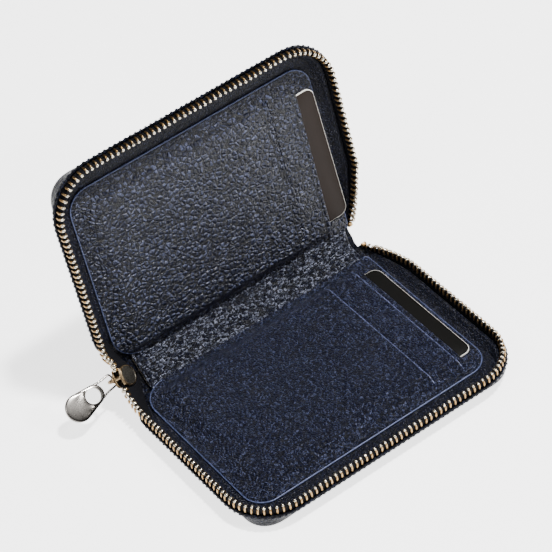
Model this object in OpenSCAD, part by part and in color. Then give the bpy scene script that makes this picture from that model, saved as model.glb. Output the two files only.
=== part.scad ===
// Zip-around leather holder for cards and papers, opened like a book.
// The front cover lies on its outer face and the back cover stands up,
// leaning back a little. The two folds run along Y, one on each side of
// the spine. Cover coordinates: u runs outward from the fold, v runs from
// the slider end to the top end, z rises from the outer face.

/* [Covers] */
// Width of a lining panel, from fold to fore edge
panel_w = 70; // [66:1:76]
// Length of a lining panel, from slider end to top end
panel_h = 100; // [96:1:110]
// Distance from panel to zip along the two ends
end_margin = 6.5; // [6:0.5:9]
// Distance from panel to zip along the fore edge
fore_margin = 9.5; // [8.5:0.5:13]
// Corner radius of the zip's path
rim_r = 17; // [15:0.5:18]
// Corner radius of a lining panel
panel_r = 8; // [6:0.5:10]
// Opening angle between the covers at rest
opening = 102; // [90:1:120]

/* [Layers] */
// Thickness of the outer leather
outer_t = 1.4; // [1.2:0.1:1.6]
// Thickness of the stiffening board
board_t = 1; // [0.8:0.1:1.2]
// Thickness of the lining leather
lining_t = 0.8; // [0.6:0.1:1]
// Thickness of a pocket's leather
pocket_t = 0.7; // [0.6:0.1:0.9]
// Width of the spine, from fold to fold
spine_w = 12; // [11:0.5:14]

/* [Zip] */
// Distance from tooth to tooth in one row
pitch = 2.1; // [2:0.05:2.3]
// Width of a tooth along the row
tooth_w = 0.85; // [0.7:0.05:0.9]
// Thickness of a tooth across the tape
tooth_t = 2.2; // [1.9:0.1:2.4]
// Height of a tooth
tooth_h = 3; // [2.8:0.1:3.2]
// Thickness of the tape
tape_t = 0.7; // [0.5:0.1:0.8]

/* [Cards] */
// Width of a card
card_w = 53.98; // [53.98:0.01:54]
// Length of a card
card_l = 85.6; // [85.5:0.1:85.6]
// Thickness of a card
card_t = 0.76; // [0.7:0.01:0.8]
// Free space on each face of a card in its pocket
card_gap = 0.15; // [0.1:0.05:0.2]

/* [Slider] */
// Length of a slider plate
slider_l = 8.6; // [8:0.1:9]
// Width of a slider plate
slider_w = 7; // [6.6:0.1:7.4]
// Length of the pull tab from its pin to its tip
pull_l = 21; // [19:0.5:22]
// Widest part of the pull tab
pull_w = 10; // [9:0.5:11]

/* [Hidden] */
$fn = 96;
eps = 0.01;

navy = [0.12, 0.14, 0.24];
navy_light = [0.17, 0.19, 0.30];
tape_black = [0.05, 0.05, 0.07];
board_grey = [0.45, 0.42, 0.38];
tooth_nickel = [0.78, 0.72, 0.58];
brass = [0.62, 0.48, 0.28];
steel = [0.75, 0.75, 0.74];

// Heights in a cover
board_z = outer_t;
lining_z = board_z + board_t;
fold_z = lining_z + lining_t;
card_z = fold_z + card_gap;
pocket_z = card_z + card_t + card_gap;
lower_z = pocket_z + pocket_t;
// The two rows mesh half way between the folded covers
mesh_z = fold_z + spine_w / 2;
tooth_top = mesh_z + 0.6;
tooth_foot = tooth_top - tooth_h;
// The tape ends clear of the tips that reach across from the other row
head_h = 1.25;
tape_top = tooth_top - head_h;

// The zip's path round a cover
rim_u = panel_w + fore_margin;
rim_v0 = -end_margin;
rim_v1 = panel_h + end_margin;
end_run = rim_u - rim_r;
fore_run = rim_v1 - rim_v0 - 2 * rim_r;
arc_run = rim_r * PI / 2;
// Half of the gap in the leather along a fold
fold_gap = 0.3;
// The wall begins clear of the slider and sinks to the spine at the top end
rim_start = 11;
fold_corner = 10;
sink_1 = 27;
sink_min = 0.2;
rim_stop = 2;
// Share of the wall's lean that the corners take away
corner_upright = 0.85;

// Wall of a cover in section, x outward from the zip's path
wall_slope = 0.75;
wall_knee = 6;
leather_top = 6.4;
facing_top = 5.2;
facing_t = 0.9;
wall_t = 1.2;
knee_x = tape_t / 2;
// Gap that keeps leather clear of the tape, and teeth clear of it
wall_gap = 0.2;
tooth_gap = 0.06;
foot_x = knee_x - wall_slope * (wall_knee - outer_t);

// Frame: the origin is the centre of the front cover's outer face
centre_u = (rim_u + foot_x) / 2;
half_fold = (180 - opening) / 2;
left_fold = [-centre_u - spine_w * cos(half_fold), 0,
    fold_z + spine_w * sin(half_fold)];

// ---- the zip's path -------------------------------------------------

// Share of the full wall that stands at distance u from the fold
function sink(u, reach) = u >= reach ? 1 :
    max(sink_min, sqrt(1 - pow((reach - u) / reach, 2)));

// Station at run s: [u, v, normal u, normal v, share of the wall, lean]
function station(s) =
    s < end_run ? [s, rim_v0, 0, -1, 1, 1] :
    s < end_run + arc_run ? arc_station((s - end_run) / arc_run * 90 - 90) :
    s < end_run + arc_run + fore_run ?
        [rim_u, rim_v0 + rim_r + s - end_run - arc_run, 1, 0, 1, 1] :
    s < end_run + 2 * arc_run + fore_run ?
        arc_station((s - end_run - arc_run - fore_run) / arc_run * 90) :
        top_station(rim_run - s);

function arc_station(a) =
    [end_run + rim_r * cos(a),
        (a < 0 ? rim_v0 + rim_r : rim_v1 - rim_r) + rim_r * sin(a),
        cos(a), sin(a), 1, 1 - corner_upright * pow(sin(2 * a), 2)];

function top_station(u) =
    let (share = sink(u, sink_1))
    [u, panel_h + end_margin * share, 0, 1, share, 1];

rim_run = 2 * (end_run + arc_run) + fore_run;

// Runs of the rings: close in the sinking end and corners, far on straights
function runs(a, b, n) = [for (i = [0:n - 1]) a + (b - a) * i / n];
corner_rings = 24;
RING_RUNS = concat(
    runs(rim_start, end_run, 3),
    runs(end_run, end_run + arc_run, corner_rings),
    runs(end_run + arc_run, end_run + arc_run + fore_run, 3),
    runs(end_run + arc_run + fore_run, rim_run - end_run, corner_rings),
    runs(rim_run - end_run, rim_run - sink_1, 2),
    runs(rim_run - sink_1, rim_run - rim_stop, 12),
    [rim_run - rim_stop]);

// One section point [x, z] placed at a station; corners shear the foot outward
function place(st, p) =
    let (up = min(1, max(0, (p[1] - outer_t) / (wall_knee - outer_t))),
        x = (p[0] - foot_x * (1 - st[5]) * (1 - up)) * st[4])
    [st[0] + st[2] * x, st[1] + st[3] * x,
        p[1] <= outer_t ? p[1] : outer_t + (p[1] - outer_t) * st[4]];

// All section points along the rim, ring by ring
function rim_points(section) =
    [for (s = RING_RUNS) for (p = section) place(station(s), p)];

// Faces between the rings, for the section's sides from first to last
function rim_sides(n, sides) =
    [for (i = [0:len(RING_RUNS) - 2]) for (j = [0:sides - 1])
        let (a = i * n + j, b = i * n + (j + 1) % n)
        for (t = [[a, b, a + n], [b, b + n, a + n]]) t];

// End faces: the cap at the first ring, turned over at the last
function rim_ends(n, cap) =
    concat(cap, [for (f = cap)
        [for (k = [len(f) - 1:-1:0]) (len(RING_RUNS) - 1) * n + f[k]]]);

// Solid swept along the rim; cap lists convex faces that fill the section
module rim_sweep(section, cap) {
    n = len(section);
    polyhedron(points = rim_points(section),
        faces = concat(rim_sides(n, n), rim_ends(n, cap)), convexity = 8);
}

// Edge of a cover's floor between the two ends of the wall, round the fold
FOLD_EDGE = concat(
    [[fold_gap, panel_h + (end_margin + foot_x) * sink_min],
        [fold_gap, (rim_v0 - foot_x) * sink_min]],
    [for (i = [1:7])
        let (u = rim_start * i / 8)
        [u, (rim_v0 - foot_x) * sink(u, fold_corner)]]);

// ---- flat outlines --------------------------------------------------

// What a rounded corner takes off a square one
module corner_off(r) {
    difference() {
        translate([-1, -1]) square(r + 1);
        translate([r, r]) circle(r);
    }
}

// Plate outline from the fold side to the fore edge, four corner radii
module plate(u0, v0, u1, v1, spine_r0, fore_r, spine_r1) {
    difference() {
        translate([u0, v0]) square([u1 - u0, v1 - v0]);
        translate([u0, v0]) corner_off(spine_r0);
        translate([u1, v0]) mirror([1, 0]) corner_off(fore_r);
        translate([u1, v1]) mirror([1, 0]) mirror([0, 1]) corner_off(fore_r);
        translate([u0, v1]) mirror([0, 1]) corner_off(spine_r1);
    }
}

module panel_outline(inset) {
    plate(0.3 + inset, inset, panel_w - inset, panel_h - inset,
        10 - inset, panel_r - inset, 1.5);
}

// ---- pieces of one cover --------------------------------------------

slot_w = card_w + 1;
tilted_slot_w = card_w + 3.2;

// Outer leather: the flat cover and the lower wall outside the tape
module outer_leather() {
    section = [
        [foot_x, 0],
        [foot_x + 0.7, 0.45],
        [foot_x + wall_t, outer_t],
        [knee_x + wall_t, wall_knee],
        [knee_x + wall_t, leather_top],
        [knee_x + wall_gap, leather_top],
        [knee_x + wall_gap, wall_knee],
        [foot_x + wall_gap, outer_t]];
    n = len(section);
    rings = len(RING_RUNS);
    edge = len(FOLD_EDGE);
    rim_count = rings * n;
    low = concat([for (i = [0:rings - 1]) i * n], [for (i = [0:edge - 1]) rim_count + i]);
    high = concat([for (i = [0:rings - 1]) i * n + n - 1],
        [for (i = [0:edge - 1]) rim_count + edge + i]);
    loop = rings + edge;
    middle = rim_count + 2 * edge;
    color(navy)
        polyhedron(
            points = concat(rim_points(section),
                [for (q = FOLD_EDGE) [q[0], q[1], 0]],
                [for (q = FOLD_EDGE) [q[0], q[1], outer_t]],
                [[centre_u, panel_h / 2, 0], [centre_u, panel_h / 2, outer_t]]),
            faces = concat(
                rim_sides(n, n - 1),
                rim_ends(n, [[7, 1, 0], [7, 2, 1], [7, 6, 3, 2], [6, 5, 4, 3]]),
                [for (i = [rings - 1:loop - 1])
                    let (k = (i + 1) % loop)
                    [low[i], high[i], high[k], low[k]]],
                [for (i = [0:loop - 1]) [middle, low[i], low[(i + 1) % loop]]],
                [for (i = [0:loop - 1]) [middle + 1, high[(i + 1) % loop], high[i]]]),
            convexity = 8);
}

// How far the stiffening board ends inside the zip's path
board_inset = 14;

module board() {
    edge = board_inset;
    color(board_grey)
        translate([0, 0, board_z])
            linear_extrude(board_t)
                plate(fold_gap, rim_v0 + edge, rim_u - edge, rim_v1 - edge,
                    3, rim_r - edge, 1);
}

// Outer face of the facing at height z
function facing_x(z) = foot_x - tape_t - wall_gap + wall_slope * (z - outer_t);

// Leather band between the lining and the tape, turned in under the lining
module facing() {
    top = facing_x(facing_top);
    bend = facing_x(lining_z);
    color(navy_light)
        rim_sweep([
            [facing_x(board_z), board_z],
            [bend, lining_z],
            [top, facing_top],
            [top - facing_t, facing_top],
            [bend - facing_t, lining_z],
            [0.2 - board_inset, lining_z],
            [0.2 - board_inset, board_z]],
            [[6, 1, 0], [6, 4, 1], [6, 5, 4], [4, 3, 2, 1]]);
}

module zip_tape() {
    color(tape_black)
        rim_sweep([
            [foot_x - tape_t, outer_t],
            [foot_x, outer_t],
            [knee_x, wall_knee],
            [knee_x, tape_top],
            [knee_x - tape_t, tape_top],
            [knee_x - tape_t, wall_knee]],
            [[5, 2, 1, 0], [5, 4, 3, 2]]);
}

// Tooth: two legs astride the tape and a head above it
module tooth() {
    half = tooth_t / 2;
    slot = tape_t / 2 + tooth_gap;
    rotate([90, 0, 90])
        linear_extrude(tooth_w, center = true)
            polygon([[-half, 0], [-slot, 0], [-slot, tooth_h - head_h],
                [slot, tooth_h - head_h], [slot, 0], [half, 0], [half, tooth_h - 0.6],
                [half - 0.6, tooth_h], [0.6 - half, tooth_h], [-half, tooth_h - 0.6]]);
}

teeth_start = 12;
teeth_end = rim_run - 4.8;

// Row of teeth; phase shifts the row so that the two rows mesh
module zip_teeth(phase) {
    count = floor((teeth_end - teeth_start) / pitch - phase);
    color(tooth_nickel)
        for (i = [0:count])
            let (st = station(teeth_start + (i + phase) * pitch))
            translate([st[0], st[1], sunk(st, tooth_foot)])
                rotate([0, 0, atan2(st[3], st[2]) - 90])
                    tooth();
}

// Height z of the full wall, at a station where the wall has sunk
function sunk(st, z) = outer_t + (z - outer_t) * st[4];

module top_stop() {
    st = station(rim_run - 3.3);
    slot = tape_t / 2 + 3 * tooth_gap;
    depth = (tape_top - tooth_foot) * st[4] + 5 * tooth_gap;
    color(tooth_nickel)
        translate([st[0], st[1], sunk(st, tooth_foot)])
            rotate([90, 0, 90])
                linear_extrude(1.2, center = true)
                    polygon([[-1.1, 0.1], [-slot, 0.1], [-slot, depth], [slot, depth],
                        [slot, 0.1], [1.1, 0.1], [1.1, depth + 0.6],
                        [-1.1, depth + 0.6]]);
}

module lining() {
    color(navy)
        translate([0, 0, lining_z])
            linear_extrude(lining_t)
                panel_outline(0);
}

upper_v = panel_h - 7.8;
lower_v = panel_h - 19.8;
pocket_inset = 1;

// Upper pocket: a leather sheet on a sewn border that guides the card
module upper_pocket(slot_u, slot_w) {
    color(navy_light) {
        translate([0, 0, pocket_z])
            linear_extrude(pocket_t)
                pocket_sheet(upper_v);
        translate([0, 0, fold_z])
            linear_extrude(pocket_z - fold_z)
                difference() {
                    pocket_sheet(upper_v);
                    translate([slot_u, upper_v - pocket_deep])
                        square([slot_w, 90]);
                }
    }
}

module pocket_sheet(top) {
    intersection() {
        panel_outline(pocket_inset);
        translate([3, 0]) square([63, top]);
    }
}

module lower_pocket() {
    color(navy)
        translate([0, 0, lower_z])
            linear_extrude(pocket_t)
                pocket_sheet(lower_v);
}

card_r = 3.18;
pocket_deep = 81;

module card(top) {
    translate([-card_w / 2, top - card_l, card_z])
        linear_extrude(card_t)
            difference() {
                square([card_w, card_l]);
                for (x = [0, 1], y = [0, 1])
                    translate([x * card_w, y * card_l])
                        mirror([x, 0]) mirror([0, y]) corner_off(card_r);
            }
}

black_u = 35.1;
black_top = panel_h - 1.6;
brown_u = 33.8;
brown_top = panel_h + 0.3;
brown_tilt = -1.5;
brown_mid = brown_u + card_l / 2 * sin(brown_tilt);

// ---- placing the covers ---------------------------------------------

module front() {
    translate([-centre_u, -panel_h / 2, 0]) children();
}

module back() {
    translate(left_fold)
        rotate([0, 2 * half_fold, 0])
            mirror([1, 0, 0])
                translate([0, -panel_h / 2, -fold_z]) children();
}

// Spine frame: x across from the back fold to the front fold, z inward
module spine() {
    translate([-centre_u, 0, fold_z])
        rotate([0, half_fold, 0])
            translate([-spine_w / 2, 0, 0]) children();
}

spine_half = spine_w / 2 - fold_gap;

module spine_strip(v0, v1, dip) {
    difference() {
        translate([-spine_half, v0 - panel_h / 2])
            square([2 * spine_half, v1 - v0]);
        translate([0, v1 - panel_h / 2 + 20 - dip]) circle(20);
    }
}

module spine_leather() {
    color(navy)
        spine()
            translate([0, 0, -fold_z])
                linear_extrude(outer_t) spine_strip(-0.4, panel_h + 1, 1.2);
}

module spine_backing() {
    color(board_grey)
        spine()
            translate([0, 0, board_z - fold_z])
                linear_extrude(board_t) spine_strip(5.3, panel_h - 3, 1.5);
}

module spine_lining() {
    color(navy_light)
        spine()
            translate([0, 0, lining_z - fold_z])
                linear_extrude(lining_t) spine_strip(5.3, panel_h - 1.2, 1.5);
}

// ---- zip tail and slider --------------------------------------------

tail_half = 2.6;
plate_t = 0.8;
chain_gap = tooth_t + 0.3;
// Middle of the slider in spine coordinates, its turn and how its nose lifts
slider_at = [-1.45, -2.6, 5];
slider_turn = 170;
slider_lift = 38;

module tail_frame() {
    spine() translate([slider_at[0], -panel_h / 2, 0]) children();
}

// Slider frame: x across, y towards the nose, z towards the inner plate
module slider_frame() {
    tail_frame()
        translate([0, slider_at[1], slider_at[2]])
            rotate([0, 0, slider_turn])
                rotate([slider_lift, 0, 0]) children();
}

// The two tapes end together: they stand up from the spine's end, then run
// out through the slider
module tail_tape() {
    color(tape_black) {
        tail_frame()
            translate([-tail_half, 0.3, outer_t - fold_z])
                cube([2 * tail_half, 0.7, 4.2]);
        slider_frame()
            translate([-tail_half, -4.9, -tape_t / 2])
                cube([2 * tail_half, 6.5, tape_t]);
    }
}

// Meshed teeth inside the slider
module tail_teeth() {
    color(tooth_nickel)
        slider_frame()
            for (i = [0:3])
                translate([0, 1.2 - i * 1.2, 0])
                    tail_tooth(i % 2 == 0 ? 1 : -1);
}

module tail_tooth(side) {
    for (face = [-1, 1])
        translate([side * 0.45, 0, face * (tape_t / 2 + 0.375)])
            cube([2.7, 0.8, 0.75], center = true);
}

// Metal stop clamped across both tapes, below the slider
module bottom_stop() {
    color(brass)
        tail_frame()
            for (v = [1, -0.5])
                translate([-1.7, v, -0.7]) cube([3.4, 0.8, 1.2]);
}

// Shield outline, wide at the nose and narrow at the tail
module shield() {
    intersection() {
        translate([0, -slider_l / 2 + 5.4]) circle(5.4);
        translate([0, slider_l / 2 - 4.9]) circle(4.9);
        square([slider_w, slider_l], center = true);
    }
}

module slider_body() {
    post_y = slider_l / 2 - 1.5;
    color(brass)
        slider_frame() {
            for (face = [0, 1])
                mirror([0, 0, face])
                    translate([0, 0, chain_gap / 2]) {
                        linear_extrude(plate_t) shield();
                        translate([0, 0, -0.55])
                            linear_extrude(0.55 + eps) slider_lips();
                    }
            translate([0, post_y, 0])
                cylinder(h = chain_gap + 2 * eps, r = 0.95, center = true);
        }
}

// Side lips of a plate, which keep the teeth in
module slider_lips() {
    difference() {
        shield();
        translate([-slider_w / 2 + 0.7, -slider_l])
            square([slider_w - 1.4, 2 * slider_l]);
        translate([-slider_w, 1.6]) square([2 * slider_w, slider_l]);
    }
}

pin_r = 0.55;
pin_y = 2.2;
// Room between the pin's axis and the outer plate
pin_room = 1.2;
pin_drop = chain_gap / 2 + plate_t + pin_room;

// Arch on the outer plate, which the pull tab's pin passes through
module slider_crown() {
    color(brass)
        slider_frame()
            translate([0, pin_y, -pin_drop])
                rotate([0, 90, 0])
                    linear_extrude(1.4, center = true)
                        difference() {
                            union() {
                                circle(1.9);
                                translate([-pin_room, -1.9]) square([pin_room, 3.8]);
                            }
                            circle(pin_r + 0.5);
                            translate([-3 - pin_room, -4]) square([3, 8]);
                        }
}

eye_half = 2.3;
arm_r = 0.5;
arm_l = 5.8;
hole_r = 2.7;
hole_y = 9.4;
// The tab sits to one side on its pin and turns a little from the slider
pull_side = 0.7;
pull_turn = 189;

// Teardrop tab with a hole, two arms and the pin between them
module pull_tab() {
    color(steel)
        slider_frame()
            translate([pull_side, pin_y, -pin_drop])
                rotate([-slider_lift, 0, 0])
                    rotate([0, 0, pull_turn - slider_turn]) {
                        rotate([0, 90, 0])
                            cylinder(h = 2 * eye_half, r = pin_r, center = true);
                        for (side = [-1, 1])
                            translate([side * eye_half, 0, 0]) {
                                rotate([-90, 0, 0]) cylinder(h = arm_l, r = arm_r);
                                sphere(r = pin_r);
                            }
                        translate([0, 0, -0.8])
                            linear_extrude(1.6)
                                difference() {
                                    teardrop_outline();
                                    translate([0, hole_y]) circle(hole_r);
                                }
                    }
}

module teardrop_outline() {
    big_r = pull_w / 2;
    small_r = 3.6;
    small_y = hole_y - 0.6;
    big_y = pull_l - big_r;
    lean = asin((big_r - small_r) / (big_y - small_y));
    translate([0, small_y]) circle(small_r);
    translate([0, big_y]) circle(big_r);
    polygon([
        [small_r * cos(lean), small_y - small_r * sin(lean)],
        [big_r * cos(lean), big_y - big_r * sin(lean)],
        [-big_r * cos(lean), big_y - big_r * sin(lean)],
        [-small_r * cos(lean), small_y - small_r * sin(lean)]]);
}

// ---- nodes ----------------------------------------------------------

module front_outer_leather() { front() outer_leather(); }
module front_board() { front() board(); }
module front_facing() { front() facing(); }
module front_zip_tape() { front() zip_tape(); }
module front_zip_teeth() { front() zip_teeth(0); }
module front_top_stop() { front() top_stop(); }
module front_lining() { front() lining(); }
module front_upper_pocket() { front() upper_pocket(black_u - slot_w / 2, slot_w); }
module front_lower_pocket() { front() lower_pocket(); }
module black_card() {
    color([0.08, 0.08, 0.08]) front() translate([black_u, 0, 0]) card(black_top);
}

module back_outer_leather() { back() outer_leather(); }
module back_board() { back() board(); }
module back_facing() { back() facing(); }
module back_zip_tape() { back() zip_tape(); }
module back_zip_teeth() { back() zip_teeth(0.5); }
module back_top_stop() { back() top_stop(); }
module back_lining() { back() lining(); }
module back_upper_pocket() {
    back() upper_pocket(brown_mid - tilted_slot_w / 2, tilted_slot_w);
}
module back_lower_pocket() { back() lower_pocket(); }
module brown_card() {
    color([0.22, 0.18, 0.15])
        back() translate([brown_u, brown_top, 0]) rotate([0, 0, brown_tilt]) card(0);
}

front_outer_leather();
front_board();
front_facing();
front_zip_tape();
front_zip_teeth();
front_top_stop();
front_lining();
front_upper_pocket();
front_lower_pocket();
black_card();
back_outer_leather();
back_board();
back_facing();
back_zip_tape();
back_zip_teeth();
back_top_stop();
back_lining();
back_upper_pocket();
back_lower_pocket();
brown_card();
spine_leather();
spine_backing();
spine_lining();
tail_tape();
tail_teeth();
bottom_stop();
slider_body();
slider_crown();
pull_tab();
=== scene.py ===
"""Zip-around leather card holder, opened like a book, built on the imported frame."""
import math
from functools import partialmethod

import bpy
import numpy as np
from mathutils import Matrix, Vector


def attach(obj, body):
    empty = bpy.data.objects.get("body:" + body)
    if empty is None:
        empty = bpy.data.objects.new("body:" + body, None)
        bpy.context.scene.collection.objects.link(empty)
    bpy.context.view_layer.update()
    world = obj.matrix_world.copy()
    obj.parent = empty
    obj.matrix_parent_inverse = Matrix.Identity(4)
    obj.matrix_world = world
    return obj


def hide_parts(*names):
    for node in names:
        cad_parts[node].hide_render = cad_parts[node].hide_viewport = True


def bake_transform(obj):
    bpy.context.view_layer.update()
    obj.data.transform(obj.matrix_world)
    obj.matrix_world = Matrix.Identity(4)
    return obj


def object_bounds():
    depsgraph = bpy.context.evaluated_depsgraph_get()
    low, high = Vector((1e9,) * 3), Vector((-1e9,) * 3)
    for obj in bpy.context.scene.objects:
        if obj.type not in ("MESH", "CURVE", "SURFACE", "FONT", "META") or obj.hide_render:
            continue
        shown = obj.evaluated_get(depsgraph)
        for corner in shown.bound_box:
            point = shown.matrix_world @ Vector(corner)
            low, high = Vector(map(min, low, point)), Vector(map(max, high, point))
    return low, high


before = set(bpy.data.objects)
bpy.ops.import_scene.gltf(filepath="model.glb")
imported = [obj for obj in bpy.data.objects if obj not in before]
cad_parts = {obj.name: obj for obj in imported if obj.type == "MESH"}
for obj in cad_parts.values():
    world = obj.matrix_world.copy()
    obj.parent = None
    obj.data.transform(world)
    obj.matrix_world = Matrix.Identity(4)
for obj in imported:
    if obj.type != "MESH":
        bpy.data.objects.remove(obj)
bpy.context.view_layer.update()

MM = 0.001

# ---- the cover frame, in millimetres ---------------------------------------
PANEL_W, PANEL_H = 70.0, 100.0
END_MARGIN, FORE_MARGIN = 6.5, 9.5
RIM_R = 17.0
SPINE_W = 12.0
FOLD_Z = 3.2
FLOOR_TOP = 1.4
HALF_FOLD = math.radians(39)
FOOT_X = -3.1
KNEE_Z = 6.0
TAPE_TOP = 8.8
RIM_U = PANEL_W + FORE_MARGIN
RIM_V0, RIM_V1 = -END_MARGIN, PANEL_H + END_MARGIN
END_RUN = RIM_U - RIM_R
ARC_RUN = RIM_R * math.pi / 2
FORE_RUN = RIM_V1 - RIM_V0 - 2 * RIM_R
RIM_RUN = 2 * (END_RUN + ARC_RUN) + FORE_RUN
CENTRE_U = 38.2
RIM_START = 12.0  # run where the tape and its teeth leave the rim for the slider
PITCH = 2.1
TOOTH_FOOT = 6.8
BEND = 1.5

SPINE_X = np.array([math.cos(HALF_FOLD), 0, -math.sin(HALF_FOLD)])
SPINE_N = np.array([math.sin(HALF_FOLD), 0, math.cos(HALF_FOLD)])
ALONG = np.array([0, 1.0, 0])
FRONT_FOLD = np.array([-CENTRE_U, 0, FOLD_Z])
SPINE_MID = FRONT_FOLD - SPINE_W / 2 * SPINE_X


def cover(u, v, z):
    """Front cover coordinates to the row frame; u below zero runs up the spine."""
    u, v, z = np.broadcast_arrays(*(np.asarray(a, float) for a in (u, v, z)))
    turn = HALF_FOLD * np.clip((BEND - u) / (2 * BEND), 0, 1)
    radius = 2 * BEND / HALF_FOLD
    x = np.where(u >= BEND, u, BEND - radius * np.sin(turn))
    up = np.where(u >= BEND, 0, radius * (1 - np.cos(turn)))
    past = np.clip(-BEND - u, 0, None)
    x = x - past * math.cos(HALF_FOLD)
    up = up + past * math.sin(HALF_FOLD)
    height = z - FOLD_Z
    return np.stack([x - CENTRE_U + np.sin(turn) * height,
                     v - PANEL_H / 2,
                     up + FOLD_Z + np.cos(turn) * height], -1)


def mirrored(p):
    """The back cover is the front one reflected across the middle of the spine."""
    p = np.asarray(p, float)
    return p - 2 * ((p - SPINE_MID) @ SPINE_X)[..., None] * SPINE_X


def unit(v):
    return v / np.linalg.norm(v, axis=-1, keepdims=True)


def turned(a, b, angle):
    """Two axes turned by an angle within their own plane."""
    return (math.cos(angle) * a + math.sin(angle) * b,
            math.cos(angle) * b - math.sin(angle) * a)


def circle(count):
    return np.linspace(0, 2 * math.pi, count, endpoint=False)


def run_lengths(points):
    """Distance along a line at each of its points."""
    return np.r_[0, np.cumsum(np.linalg.norm(np.diff(points, axis=0), axis=1))]


def smooth(x):
    x = np.clip(x, 0, 1)
    return x * x * (3 - 2 * x)


# ---- noise ------------------------------------------------------------------
def cells(x, y, seed):
    """Distances to the nearest and second nearest of jittered points, and its number."""
    rng = np.random.RandomState(seed)
    table = rng.rand(64, 64, 2) * 0.86 + 0.07
    x, y = np.asarray(x, float), np.asarray(y, float)
    xi, yi = np.floor(x).astype(int), np.floor(y).astype(int)
    first = np.full(x.shape, 9.0)
    second = first.copy()
    number = np.zeros(x.shape)
    for dx in (-1, 0, 1):
        for dy in (-1, 0, 1):
            cx, cy = xi + dx, yi + dy
            point = table[cx % 64, cy % 64]
            d = np.hypot(cx + point[..., 0] - x, cy + point[..., 1] - y)
            nearer = d < first
            second = np.where(nearer, first, np.minimum(second, d))
            number = np.where(nearer, point[..., 0], number)
            first = np.where(nearer, d, first)
    return first, second, number


def waves(x, y, seed, octaves=3):
    """Smooth value noise between -1 and 1."""
    rng = np.random.RandomState(seed)
    x, y = np.broadcast_arrays(np.asarray(x, float), np.asarray(y, float))
    total = np.zeros(x.shape)
    for k in range(octaves):
        table = rng.rand(64, 64) * 2 - 1
        fx, fy = x * 2 ** k, y * 2 ** k
        xi, yi = np.floor(fx).astype(int), np.floor(fy).astype(int)
        tx, ty = smooth(fx - xi), smooth(fy - yi)
        a = table[xi % 64, yi % 64] * (1 - tx) + table[(xi + 1) % 64, yi % 64] * tx
        b = table[xi % 64, (yi + 1) % 64] * (1 - tx) + table[(xi + 1) % 64, (yi + 1) % 64] * tx
        total += (a * (1 - ty) + b * ty) / 2 ** k
    return total / 1.75


def pebbles(x, y, size, seed, squash=1.0):
    """Pebbled grain, 0 in the creases and 1 on the pebbles; size in mm."""
    wx = x + 0.22 * size * waves(x / size / 2, y / size / 2, seed + 1, 1)
    wy = y + 0.22 * size * waves(x / size / 2 + 9, y / size / 2, seed + 2, 1)
    first, second, number = cells(wx / size, wy / (size * squash), seed)
    return np.clip((second - first) / 0.38, 0, 1) ** 0.6 * (0.72 + 0.28 * number)


# ---- mesh helpers -----------------------------------------------------------
def grid_faces(rows, cols, wrap_rows, wrap_cols):
    faces = []
    for i in range(rows if wrap_rows else rows - 1):
        for j in range(cols if wrap_cols else cols - 1):
            a, b = i * cols + j, i * cols + (j + 1) % cols
            c, d = ((i + 1) % rows) * cols + (j + 1) % cols, ((i + 1) % rows) * cols + j
            faces.append((a, b, c, d))
    return faces


def add_object(name, data):
    obj = bpy.data.objects.new(name, data)
    bpy.context.scene.collection.objects.link(obj)
    return obj


class Shape:
    """Collects vertices in millimetres and faces with a material index."""

    def __init__(self):
        self.points, self.faces, self.marks, self.count = [], [], [], 0

    def grid(self, points, mark=0, wrap_rows=False, wrap_cols=False, caps=False):
        rows, cols = points.shape[:2]
        faces = grid_faces(rows, cols, wrap_rows, wrap_cols)
        if caps:
            faces += [tuple(range(cols - 1, -1, -1)),
                      tuple((rows - 1) * cols + j for j in range(cols))]
        self.faces += [tuple(i + self.count for i in f) for f in faces]
        self.marks += [mark] * len(faces)
        self.points.append(points.reshape(-1, 3))
        self.count += rows * cols
        return self

    def closed(self, points, mark=0):
        """Rings joined one to the next, with both ends closed."""
        return self.grid(points, mark, wrap_cols=True, caps=True)

    def rod(self, *shape, mark=0):
        return self.closed(tube(*shape), mark)

    def lump(self, *shape, mark=0):
        return self.grid(blob(*shape), mark, wrap_cols=True)

    def build(self, name, materials, body, slot, back=False, flip=False, auto=None):
        """Makes the piece; without a body it is left unattached, and its points past the middle of
        the spine are moved back onto it.
        """
        points = np.concatenate(self.points)
        if not body:
            past = np.minimum((points - SPINE_MID) @ SPINE_X, 0)
            points = points - past[:, None] * SPINE_X
        if back:
            points = mirrored(points)
        faces = [f[::-1] for f in self.faces] if back != flip else self.faces
        mesh = bpy.data.meshes.new(name)
        mesh.from_pydata((points * MM).tolist(), [], faces)
        mesh.update()
        for m in materials:
            mesh.materials.append(m)
        mesh.polygons.foreach_set("material_index", self.marks)
        mesh.polygons.foreach_set("use_smooth", [True] * len(faces))
        obj = add_object(name, mesh)
        if auto:
            mesh.set_sharp_from_angle(angle=math.radians(auto))
        if body:
            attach(obj, body)
        else:
            start, end = fold_points(back)
            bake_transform(obj)
            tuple(start)
            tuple(end)
        return obj


def fold_points(back):
    """Where the leather starts and stops bending, in metres."""
    ends = np.array([cover(2.6, 0, 2.2), cover(-3.4, 0, 2.2)])
    if back:
        ends = mirrored(ends)
    ends[:, 1] = 0
    return tuple(ends[0] * MM), tuple(ends[1] * MM)


def blob(centre, axes, radii, power=0.55, rings=7, around=10):
    """A rounded block (superellipsoid); axes longer than 1 make it larger."""
    lat = np.linspace(-math.pi / 2, math.pi / 2, rings)
    lon = circle(around)

    def soften(c):
        return np.sign(c) * np.abs(c) ** power
    x = soften(np.cos(lat))[:, None] * soften(np.cos(lon))[None]
    y = soften(np.cos(lat))[:, None] * soften(np.sin(lon))[None]
    z = np.repeat(soften(np.sin(lat))[:, None], around, 1)
    local = np.stack([x * radii[0], y * radii[1], z * radii[2]], -1)
    return centre + local @ np.asarray(axes)


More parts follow.
